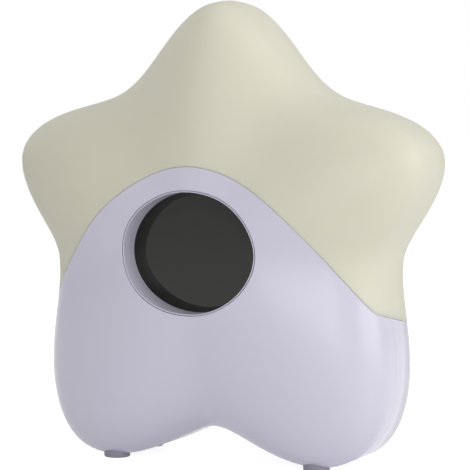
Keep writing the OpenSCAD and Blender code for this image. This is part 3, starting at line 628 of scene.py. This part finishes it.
def finish(
    name, rgb, roughness, grain=0.0, grain_size=1.0, mottle=0.03, mottle_size=20.0, wear=0.03,
    metallic=0.0, coat=0.0, coat_roughness=0.05, subsurface=0.0, ior=1.5, detail=2.0,
):
    """A moulded, rolled or plated surface: uneven colour, uneven gloss and a fine grain."""
    material, tree = nodes_of(name)
    if tree is None:
        return material
    n, link = tree.nodes, tree.links.new
    shader = n["Principled BSDF"]
    place = n.new("ShaderNodeTexCoord").outputs["Object"]

    def noise(size, depth=2.0):
        node = n.new("ShaderNodeTexNoise")
        put(node, {"Scale": 1 / (size * MM), "Detail": depth})
        link(place, node.inputs["Vector"])
        return node.outputs["Fac"]

    tint = n.new("ShaderNodeMix")
    tint.data_type = "RGBA"
    put(tint, {6: [*(c * (1 - mottle) for c in rgb), 1]})
    put(tint, {7: [*(min(1, c * (1 + mottle)) for c in rgb), 1]})
    link(noise(mottle_size), tint.inputs[0])
    link(tint.outputs[2], shader.inputs["Base Color"])
    gloss = n.new("ShaderNodeMapRange")
    put(gloss, {"To Min": max(0.02, roughness - wear), "To Max": min(1, roughness + wear)})
    link(noise(mottle_size / 4), gloss.inputs["Value"])
    link(gloss.outputs["Result"], shader.inputs["Roughness"])
    if grain:
        relief(tree, noise(grain_size, detail), grain)
    put(shader, {"Metallic": metallic, "IOR": ior})
    put(shader, {"Coat Weight": coat, "Coat Roughness": coat_roughness})
    if subsurface:
        put(shader, {"Subsurface Weight": subsurface, "Subsurface Radius": (1.0, 0.9, 0.65)})
        put(shader, {"Subsurface Scale": 3 * MM})
    return material


def board_finish(name, rgb, copper):
    """A circuit board: solder mask over faint tracks."""
    material, tree = nodes_of(name)
    if tree is None:
        return material
    n, link = tree.nodes, tree.links.new
    shader = n["Principled BSDF"]
    place = n.new("ShaderNodeTexCoord").outputs["Object"]
    tracks = n.new("ShaderNodeTexBrick")
    put(tracks, {"Scale": 260, "Mortar Size": 0.03, "Mortar": [*copper, 1]})
    put(tracks, {"Color1": [*rgb, 1], "Color2": [*(c * 0.9 for c in rgb), 1]})
    turn = n.new("ShaderNodeMapping")
    put(turn, {"Rotation": (math.pi / 2, 0, 0)})
    link(place, turn.inputs["Vector"])
    link(turn.outputs["Vector"], tracks.inputs["Vector"])
    link(tracks.outputs["Color"], shader.inputs["Base Color"])
    relief(tree, tracks.outputs["Fac"], 0.04)
    put(shader, {"Roughness": 0.38})
    return material


def lens_finish(name, rgb):
    """Clear moulded lens with faint ripples."""
    material, tree = nodes_of(name)
    if tree is None:
        return material
    n, link = tree.nodes, tree.links.new
    shader = n["Principled BSDF"]
    put(shader, {"Base Color": [*rgb, 1], "Transmission Weight": 0.92})
    put(shader, {"Roughness": 0.04, "IOR": 1.49})
    ripple = n.new("ShaderNodeTexNoise")
    put(ripple, {"Scale": 160})
    link(n.new("ShaderNodeTexCoord").outputs["Object"], ripple.inputs["Vector"])
    relief(tree, ripple.outputs["Fac"], 0.02)
    return material


def housing_finish(scene):
    """Glossy lavender plastic of the shells and the door."""
    f = scene.star_finish
    return finish(
        "lavender_gloss", f.housing, f.housing_roughness, grain=0.006, grain_size=2.2, mottle=0.012,
        mottle_size=30, coat=0.08, coat_roughness=0.12, ior=1.45,
    )


def diffuser_finish(scene):
    """Satin cream plastic that lets light through."""
    f = scene.star_finish
    return finish(
        "cream_satin", f.diffuser, f.diffuser_roughness, grain=0.012, grain_size=0.5, mottle=0.02,
        mottle_size=26, wear=0.05, subsurface=f.diffuser_glow, detail=3,
    )


def black_finish():
    """Black moulded plastic."""
    rgb = (0.012, 0.012, 0.014)
    return finish("charcoal_grain", rgb, 0.5, grain=0.02, grain_size=0.6, mottle=0.15)


def steel_finish():
    """Plated steel of screws, springs and plates."""
    rgb = (0.52, 0.52, 0.54)
    return finish("plated_steel", rgb, 0.36, grain=0.008, grain_size=0.4, metallic=1.0, wear=0.08)


def white_finish():
    """White moulded plastic."""
    return finish("white_moulding", (0.72, 0.72, 0.69), 0.42, grain=0.012, grain_size=0.7)


def clothe(material, *names):
    """Gives carried-over nodes their finish."""
    for name in names:
        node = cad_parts[name]
        if not node.material_slots:
            raise RuntimeError(f"{name} has no material slot")
        for held in node.material_slots:
            held.material = material


# ---------------------------------------------------------------- pieces


def star_piece(form, name, inset=0.0, coarse=1):
    """The whole star as a mesh object, moved inwards."""
    points, faces = form.solid(inset, coarse)
    return new_piece(name, points, faces)


def parting_path(form, away, band_points=26, dome_points=90, spread_out=1.5, halvings=40):
    """The closed line on the star's surface beside the parting edge, over front and back."""

    def above(a, share, y):
        p = form.outline(a) * share[..., None]
        return form.centre + p[..., 1] - form.edge_height(p[..., 0], y, away)

    def solve(low, high, test):
        for _ in range(halvings):
            middle = (low + high) / 2
            up = test(middle) > 0
            low, high = np.where(up, low, middle), np.where(up, middle, high)
        return (low + high) / 2

    def over(side):
        """From the left over the crest to the right, on the front (-1) or the back (1)."""
        y = side * np.linspace(0, form.band, band_points)
        one = np.ones(band_points)
        turn = solve(-50 * one, 20 * one, lambda a: above(a, one, y))
        band = upright(form.outline(turn) + (0, form.centre), y)
        t = np.linspace(0, 1, dome_points)[1:] ** spread_out
        a = turn[-1] + (90 - turn[-1]) * t
        rise = form.half_depth - form.band

        def place(phi):
            return np.cos(phi), side * (form.band + rise * np.sin(phi))

        phi = solve(np.full(a.shape, math.pi / 2), np.zeros(a.shape), lambda q: above(a, *place(q)))
        share, depth = place(phi)
        p = form.outline(a) * share[:, None]
        right = np.vstack([band, upright(p + (0, form.centre), depth)])
        return np.vstack([right[:-1] * np.array([-1, 1, 1]), right[::-1]])

    path = np.vstack([over(-1), over(1)[::-1][1:]])
    travel = np.concatenate([[0], np.cumsum(np.linalg.norm(np.diff(path, axis=0), axis=1))])
    even = np.linspace(0, travel[-1], int(travel[-1] / BAR_SPACING), endpoint=False)
    return np.column_stack([np.interp(even, travel, path[:, k]) for k in range(3)])


def rounded_edge(form, away, radius, stand):
    """The round bar that gives an edge beside the parting line its rounding."""
    path = parting_path(form, away)
    normal = unit(form.gradient(path))
    return hoop("rounded_edge", path + normal * (stand - radius), normal, radius)


def seam_ring(scene, form):
    """A V-shaped ring that cuts the seam into the middle of the straight band."""
    p = scene.star_parting
    deep, half = p.seam_depth / MM, p.seam_width / MM / 2
    degrees = np.arange(form.steps) * 360 / form.steps - 90
    rows = []
    for inset, y in ((deep, 0), (-deep, -2 * half), (-deep, 2 * half)):
        rows.append(upright(form.outline(degrees, inset) + (0, form.centre), y))
    return loft("seam_ring", rows, closed=True)


def window_groove(scene, form):
    """The fine groove that runs round the window outside its lip."""
    w = scene.star_window
    near, deep = w.lip_width / MM, w.groove_depth / MM
    far = near + w.groove_width / MM
    rows = []
    for grow, out in ((near, -deep), (near, CLEAR), (far, CLEAR), (far, -deep)):
        o = oval(scene, grow)
        rows.append(upright(o, -form.depth(o[:, 0], o[:, 1]) - out))
    return loft("window_groove", rows, closed=True)


def foot_tools(names, grow, height, start=-1):
    """A round cutter over each of the named pads."""
    tools = []
    for name in names:
        middle, radius, _ = pad_place(name)
        sides = [(radius + grow, start), (radius + grow, height)]
        tools.append(turned(name + "_tool", sides, (middle[0], middle[1], 0), "Z"))
    return tools


def housing_half(scene, form, back):
    """One half of the housing with its rounded edge, its hollow and the names of its pads."""
    name = "rear_housing_shell" if back else "front_housing_shell"
    p = scene.star_parting
    piece = star_piece(form, name)
    edge = -(p.groove + p.housing_round) / MM
    carve(piece, below_edge(form, away=edge), how="INTERSECT")
    carve(piece, rounded_edge(form, edge, p.housing_round / MM, p.housing_stand / MM), how="UNION")
    carve(piece, seam_ring(scene, form))
    low, high = (HALF_GAP, BEYOND) if back else (-BEYOND, -HALF_GAP)
    corners = BEYOND * np.array([[-1, -1], [1, -1], [1, 2], [-1, 2]])
    carve(piece, prism("half", corners, low, high), how="INTERSECT")
    feet = [n for n in FEET if n.startswith("rear" if back else "front")]
    hollow = star_piece(form, "hollow", form.wall, 2)
    carve(hollow, *foot_tools(feet, SOCKET_WALL, SOCKET_BLOCK))
    return piece, hollow, feet


class STARLAMP_OT_front_housing(bpy.types.Operator):
    """Front half of the housing with its window tunnel"""

    bl_idname = "starlamp.front_housing"
    bl_label = "Front Housing"

    def execute(self, context):
        scene = context.scene
        form = StarForm(scene)
        w = scene.star_window
        piece, hollow, feet = housing_half(scene, form, back=False)
        pane = span("window_pane")[0][1]
        tunnel_end = span("lens_tube_screws")[0][1] + TUNNEL_LAP
        margin = w.pane_margin / MM
        outer = margin + w.tunnel_wall / MM
        carve(hollow, prism("tunnel", oval(scene, outer), TUNNEL_START, tunnel_end))
        carve(piece, hollow)
        carve(
            piece,
            flared(form, "window", oval(scene), -1, pane + WINDOW_LAP, w.rim_round / MM),
            prism("bore", oval(scene, margin), pane, tunnel_end + 1),
            window_groove(scene, form),
            *foot_tools(feet, SOCKET_GAP, SOCKET_DEPTH),
        )
        shade(piece, form)
        dress(piece, housing_finish(scene), "lavender_shell", LAMP, "front_housing")
        return {"FINISHED"}


class STARLAMP_OT_rear_housing(bpy.types.Operator):
    """Rear half of the housing with its door opening, button holes and screw wells"""

    bl_idname = "starlamp.rear_housing"
    bl_label = "Rear Housing"

    def execute(self, context):
        scene = context.scene
        form = StarForm(scene)
        b = scene.star_back
        piece, hollow, feet = housing_half(scene, form, back=True)
        soft = b.edge_round / MM
        door = door_outline(scene, b.door_gap / MM)
        cutters = [flared(form, "door_opening", door, 1, DOOR_START, soft)]
        for place in HOUSING_SCREWS:
            carve(hollow, prism("post", disc(*place, POST_RADIUS), -1, POST_END))
            cutters.append(flared(form, "well", disc(*place, WELL_RADIUS), 1, SCREW_SEAT, soft))
        carve(piece, hollow)
        for place in HOUSING_SCREWS:
            cutters.append(prism("shank", disc(*place, SHANK_RADIUS), -1, SCREW_SEAT + 1))
        hole = (b.button_radius + b.button_gap) / MM
        for side in (-1, 1):
            place = disc(side * b.button_spacing / MM / 2, b.button_height / MM, hole)
            cutters.append(flared(form, "button_hole", place, 1, BUTTON_HOLE_START, soft))
        carve(piece, *cutters, *foot_tools(feet, SOCKET_GAP, SOCKET_DEPTH))
        shade(piece, form)
        dress(piece, housing_finish(scene), "lavender_shell", LAMP, "rear_housing")
        return {"FINISHED"}


class STARLAMP_OT_diffuser(bpy.types.Operator):
    """Cream diffuser with its skirt inside the housing"""

    bl_idname = "starlamp.diffuser"
    bl_label = "Diffuser"

    def execute(self, context):
        scene = context.scene
        form = StarForm(scene)
        p = scene.star_parting
        piece = star_piece(form, "diffuser_shell")
        edge = p.diffuser_round / MM
        carve(piece, below_edge(form, away=edge))
        carve(piece, rounded_edge(form, edge, edge, p.diffuser_stand / MM), how="UNION")
        skirt = star_piece(form, "skirt", form.wall + p.skirt_gap / MM, 2)
        carve(skirt, below_edge(form, -p.skirt_depth / MM))
        carve(piece, skirt, how="UNION")
        carve(piece, star_piece(form, "hollow", form.diffuser_wall, 2))
        shade(piece, form)
        dress(piece, diffuser_finish(scene), "cream_diffuser", LAMP, "night_light_diffuser")
        return {"FINISHED"}


class STARLAMP_OT_window_pane(bpy.types.Operator):
    """Smoked oval pane with a rounded edge"""

    bl_idname = "starlamp.window_pane"
    bl_label = "Window Pane"

    def execute(self, context):
        scene = context.scene
        low, high = span("window_pane")
        w = scene.star_window
        grow = w.pane_margin / MM - PANE_GAP
        bend = quarter(w.pane_round / MM, 6)
        profile = [(PANE_CAP, low[1])] + [(a, low[1] + b) for a, b in bend]
        profile += [(b, high[1] - a) for a, b in bend] + [(PANE_CAP, high[1])]
        rows = [upright(oval(scene, grow - inset), y) for inset, y in profile]
        piece = loft("smoked_pane", rows)
        shade(piece)
        material = finish(
            "smoked_acrylic", scene.star_finish.pane, 0.05, mottle=0.05, wear=0.01, grain=0.001,
            grain_size=6, ior=1.44,
        )
        dress(piece, material, "smoked_pane", LAMP, "window_pane")
        return {"FINISHED"}


class STARLAMP_OT_battery_door(bpy.types.Operator):
    """Battery door, curved as the back is, with a well for its screw"""

    bl_idname = "starlamp.battery_door"
    bl_label = "Battery Door"

    def execute(self, context):
        scene = context.scene
        form = StarForm(scene)
        soft = scene.star_back.edge_round / MM
        piece = star_piece(form, "battery_door_panel")
        plug = flared(form, "plug", door_outline(scene), 1, DOOR_START, soft, turn=-1)
        carve(piece, plug, how="INTERSECT")
        low, high = span("door_screw")
        z = (low[2] + high[2]) / 2
        hollow = star_piece(form, "hollow", form.wall, 2)
        seat = high[1] - DOOR_SCREW_HEAD
        carve(hollow, prism("post", disc(0, z, DOOR_POST_RADIUS), seat - DOOR_SEAT, POST_END))
        carve(piece, hollow)
        carve(piece, flared(form, "well", disc(0, z, DOOR_WELL_RADIUS), 1, seat, soft))
        shank = disc(0, z, DOOR_SHANK_RADIUS)
        carve(piece, prism("shank", shank, DOOR_SHANK_START, seat + 1))
        shade(piece, form)
        dress(piece, housing_finish(scene), "lavender_shell", "battery_door", "battery_door")
        return {"FINISHED"}


class STARLAMP_OT_buttons(bpy.types.Operator):
    """Two push buttons with a finger dish; one has a raised dot and one a raised ring"""

    bl_idname = "starlamp.buttons"
    bl_label = "Buttons"

    def execute(self, context):
        scene = context.scene
        b = scene.star_back
        radius, dish = b.button_radius / MM, b.button_dish / MM
        rgb = scene.star_finish.button
        material = finish("button_gloss", rgb, 0.24, grain=0.006, grain_size=1.6, coat=0.2)
        for node, (mark_place, mark_width) in MARKS.items():
            low, high = span(node)
            x, z = (low[0] + high[0]) / 2, (low[2] + high[2]) / 2
            start, face = low[1] + FLANGE_START, high[1]
            flange, end = radius + BUTTON_FLANGE, start + FLANGE_THICKNESS
            profile = [(BUTTON_STEM, low[1]), (BUTTON_STEM, start)]
            profile += [(flange, start), (flange, end), (radius, end)]
            profile += [(radius - b, face - a) for a, b in quarter(BUTTON_ROUND)]
            bowl = radius - BUTTON_ROUND - DISH_RIM
            for share in DISH_SHARES:
                hump = MARK_HEIGHT * math.exp(-(((share - mark_place) / mark_width) ** 2))
                height = face - dish * (1 - share * share) + hump - MARK_SINK
                profile.append((bowl * share, height))
            piece = turned(node + "_cap", profile, (x, 0, z))
            shade(piece)
            dress(piece, material, "button_plastic", node, node)
        return {"FINISHED"}


class STARLAMP_OT_foot_pads(bpy.types.Operator):
    """Round pads with a soft lower edge"""

    bl_idname = "starlamp.foot_pads"
    bl_label = "Foot Pads"

    def execute(self, context):
        scene = context.scene
        bend = quarter(scene.star_back.pad_round / MM)
        # The pad colour holds painted shade: it is darker than the pads' own plastic, standing for
        # the shade beneath the lamp.
        rgb = scene.star_finish.pad
        material = finish("pad_elastomer_painted_shade", rgb, 0.55, grain=0.02, grain_size=0.5, mottle=0.05)
        for name in FEET:
            middle, radius, top = pad_place(name)
            profile = [(radius * PAD_FLAT, 0)] + [(radius - a, b) for a, b in bend]
            profile += [(radius, top - PAD_BEVEL), (radius - PAD_BEVEL, top)]
            piece = turned(name + "_pad", profile, (middle[0], middle[1], 0), "Z")
            shade(piece)
            dress(piece, material, "foot_pad", LAMP, name)
        return {"FINISHED"}


class STARLAMP_OT_projector_works(bpy.types.Operator):
    """Finishes of the lens tube, lens, film, ring, board and light"""

    bl_idname = "starlamp.projector_works"
    bl_label = "Projector Works"

    def execute(self, context):
        clothe(black_finish(), "lens_tube", "film_ring")
        clothe(lens_finish("clear_acrylic", (0.93, 0.95, 0.96)), "projection_lens")
        film = finish("blue_film", (0.01, 0.014, 0.06), 0.12, mottle=0.2, mottle_size=5)
        clothe(film, "star_film")
        clothe(board_finish("green_board", *GREEN_BOARD), "projector_board")
        clothe(lens_finish("light_epoxy", LIGHT_EPOXY), "projector_led")
        return {"FINISHED"}


class STARLAMP_OT_night_light_works(bpy.types.Operator):
    """Finishes of the baffle, the night light's board and its lights"""

    bl_idname = "starlamp.night_light_works"
    bl_label = "Night Light Works"

    def execute(self, context):
        clothe(white_finish(), "light_baffle")
        clothe(board_finish("white_board", *WHITE_BOARD), "night_light_board")
        clothe(lens_finish("light_epoxy", LIGHT_EPOXY), "night_light_leds")
        return {"FINISHED"}


class STARLAMP_OT_boards(bpy.types.Operator):
    """Finishes of the main board, the switch board, their parts and the plungers"""

    bl_idname = "starlamp.boards"
    bl_label = "Boards and Switches"

    def execute(self, context):
        clothe(board_finish("green_board", *GREEN_BOARD), "main_board", "switch_board")
        rgb = (0.01, 0.01, 0.011)
        epoxy = finish("epoxy_black", rgb, 0.35, grain=0.01, grain_size=0.4, mottle=0.2)
        clothe(epoxy, "main_board_parts", "button_switches")
        clothe(white_finish(), "projector_plunger", "night_light_plunger")
        return {"FINISHED"}


class STARLAMP_OT_power_works(bpy.types.Operator):
    """Finishes of the battery box, cells, springs and plates"""

    bl_idname = "starlamp.power_works"
    bl_label = "Power Works"

    def execute(self, context):
        clothe(black_finish(), "battery_box")
        rgb = (0.06, 0.07, 0.1)
        sleeve = finish("cell_sleeve", rgb, 0.23, mottle=0.1, coat=0.4, grain=0.004, grain_size=3)
        clothe(sleeve, "battery_1", "battery_2", "battery_3")
        clothe(steel_finish(), "battery_springs", "battery_plates")
        return {"FINISHED"}


class STARLAMP_OT_fasteners(bpy.types.Operator):
    """Finishes of the screws"""

    bl_idname = "starlamp.fasteners"
    bl_label = "Fasteners"

    def execute(self, context):
        clothe(steel_finish(), "housing_screws", "lens_tube_screws", "board_screws", "door_screw")
        return {"FINISHED"}


class STARLAMP_OT_wires(bpy.types.Operator):
    """Finishes of the wires"""

    bl_idname = "starlamp.wires"
    bl_label = "Wires"

    def execute(self, context):
        for name, rgb, node in (
            ("red_insulation", (0.3, 0.01, 0.01), "battery_wires"),
            ("yellow_insulation", (0.5, 0.28, 0.01), "projector_wires"),
            ("white_insulation", (0.6, 0.6, 0.58), "night_light_wires"),
        ):
            cover = finish(name, rgb, 0.4, grain=0.004, grain_size=0.5, mottle=0.06, mottle_size=4)
            clothe(cover, node)
        return {"FINISHED"}


# ---------------------------------------------------------------- stage


def plain_view(tree):
    """One for what the camera, gloss or a clear piece sees, and nought for light on things."""
    n, link = tree.nodes, tree.links.new
    path = n.new("ShaderNodeLightPath")
    seen = path.outputs["Is Camera Ray"]
    for name in ("Is Glossy Ray", "Is Transmission Ray"):
        either = n.new("ShaderNodeMath")
        either.operation = "MAXIMUM"
        link(seen, either.inputs[0])
        link(path.outputs[name], either.inputs[1])
        seen = either.outputs[0]
    return seen


def pale_floor(glow):
    """A white floor: its lit surface, shadows and all, with plain white added where it is seen."""
    material, tree = nodes_of("pale_floor")
    n, link = tree.nodes, tree.links.new
    n.remove(n["Principled BSDF"])
    lit = n.new("ShaderNodeBsdfDiffuse")
    put(lit, {"Color": (FLOOR_WHITE, FLOOR_WHITE, FLOOR_WHITE, 1)})
    level = n.new("ShaderNodeMath")
    level.operation = "MULTIPLY"
    put(level, {1: glow})
    link(plain_view(tree), level.inputs[0])
    white = n.new("ShaderNodeEmission")
    link(level.outputs[0], white.inputs["Strength"])
    both = n.new("ShaderNodeAddShader")
    link(lit.outputs[0], both.inputs[0])
    link(white.outputs[0], both.inputs[1])
    link(both.outputs[0], n["Material Output"].inputs["Surface"])
    return material


def white_air(ambient):
    """A world that lights things evenly and looks plain white."""
    world = bpy.data.worlds.new("studio")
    world.use_nodes = True
    tree = world.node_tree
    n, link = tree.nodes, tree.links.new
    air = n["Background"]
    put(air, {"Color": (1, 1, 1, 1), "Strength": ambient})
    plain = n.new("ShaderNodeBackground")
    put(plain, {"Color": (1, 1, 1, 1)})
    mix = n.new("ShaderNodeMixShader")
    link(plain_view(tree), mix.inputs[0])
    link(air.outputs[0], mix.inputs[1])
    link(plain.outputs[0], mix.inputs[2])
    link(mix.outputs[0], n["World Output"].inputs["Surface"])
    return world


class STARLAMP_OT_stage(bpy.types.Operator):
    """Floor, lights, world and camera"""

    bl_idname = "starlamp.stage"
    bl_label = "Stage"

    def execute(self, context):
        scene = context.scene
        s = scene.star_stage
        rim = ring(FLOOR_RADIUS)
        flat = np.column_stack([rim, np.full(len(rim), -FLOOR_DROP)])
        floor = new_piece("floor", flat, [list(range(len(rim)))])
        floor.data.materials.append(pale_floor(s.floor_glow))
        scene.world = white_air(s.ambient)

        middle = Vector((0, 0, s.camera_target))
        for name, watts, side, rise in (
            ("front_light", s.front, 25, 5),
            ("right_light", s.right, 100, 20),
            ("light_above", s.above, 24, 88),
            ("left_light", s.left, -100, 30),
        ):
            light = bpy.data.lights.new(name, "AREA")
            light.size, light.energy = s.light_size, watts
            lamp = bpy.data.objects.new(name, light)
            scene.collection.objects.link(lamp)
            place_facing(lamp, middle, math.radians(side), math.radians(rise), s.light_distance)

        camera = bpy.data.objects.new("camera", bpy.data.cameras.new("camera"))
        scene.collection.objects.link(camera)
        camera.data.lens, camera.data.sensor_width = s.lens, 36
        camera.data.shift_x, camera.data.shift_y = s.shift_x, s.shift_y
        camera.data.clip_start, camera.data.clip_end = 0.01, 20
        place_facing(camera, middle, s.camera_side, s.camera_rise, s.camera_distance)
        scene.camera = camera
        scene.view_settings.view_transform = "Standard"
        return {"FINISHED"}


def place_facing(thing, target, side, rise, far):
    """Stands a lamp or camera round the target, facing it."""
    level = math.cos(rise)
    way = Vector((math.sin(side) * level, -math.cos(side) * level, math.sin(rise)))
    thing.location = target + way * far
    thing.rotation_euler = way.to_track_quat("Z", "Y").to_euler()


# ---------------------------------------------------------------- panel and start

OPERATORS = (
    STARLAMP_OT_stage,
    STARLAMP_OT_front_housing,
    STARLAMP_OT_rear_housing,
    STARLAMP_OT_diffuser,
    STARLAMP_OT_window_pane,
    STARLAMP_OT_battery_door,
    STARLAMP_OT_buttons,
    STARLAMP_OT_foot_pads,
    STARLAMP_OT_projector_works,
    STARLAMP_OT_night_light_works,
    STARLAMP_OT_boards,
    STARLAMP_OT_power_works,
    STARLAMP_OT_fasteners,
    STARLAMP_OT_wires,
)

SETTINGS = {
    "star_outline": StarOutlineSettings,
    "star_parting": PartingSettings,
    "star_window": WindowSettings,
    "star_back": BackSettings,
    "star_finish": FinishSettings,
    "star_stage": StageSettings,
}


class STARLAMP_PT_panel(bpy.types.Panel):
    """Pieces and settings of the star night light"""

    bl_idname = "STARLAMP_PT_panel"
    bl_label = "Star Night Light"
    bl_space_type = "VIEW_3D"
    bl_region_type = "UI"
    bl_category = "Star Lamp"

    def draw(self, context):
        for name, group in SETTINGS.items():
            box = self.layout.box()
            for field in group.__annotations__:
                box.prop(getattr(context.scene, name), field)
        for operator in OPERATORS:
            self.layout.operator(operator.bl_idname)


def register():
    """Makes the settings, the operators and the panel known."""
    for cls in (*SETTINGS.values(), *OPERATORS, STARLAMP_PT_panel):
        bpy.utils.register_class(cls)
    for name, group in SETTINGS.items():
        setattr(bpy.types.Scene, name, bpy.props.PointerProperty(type=group))


def unregister():
    """Takes the settings, the operators and the panel away again."""
    for name in SETTINGS:
        delattr(bpy.types.Scene, name)
    for cls in reversed((*SETTINGS.values(), *OPERATORS, STARLAMP_PT_panel)):
        bpy.utils.unregister_class(cls)


def main():
    """Builds the lamp and its stage."""
    register()
    for operator in OPERATORS:
        group, name = operator.bl_idname.split(".")
        getattr(getattr(bpy.ops, group), name)()


if __name__ == "__main__":
    main()
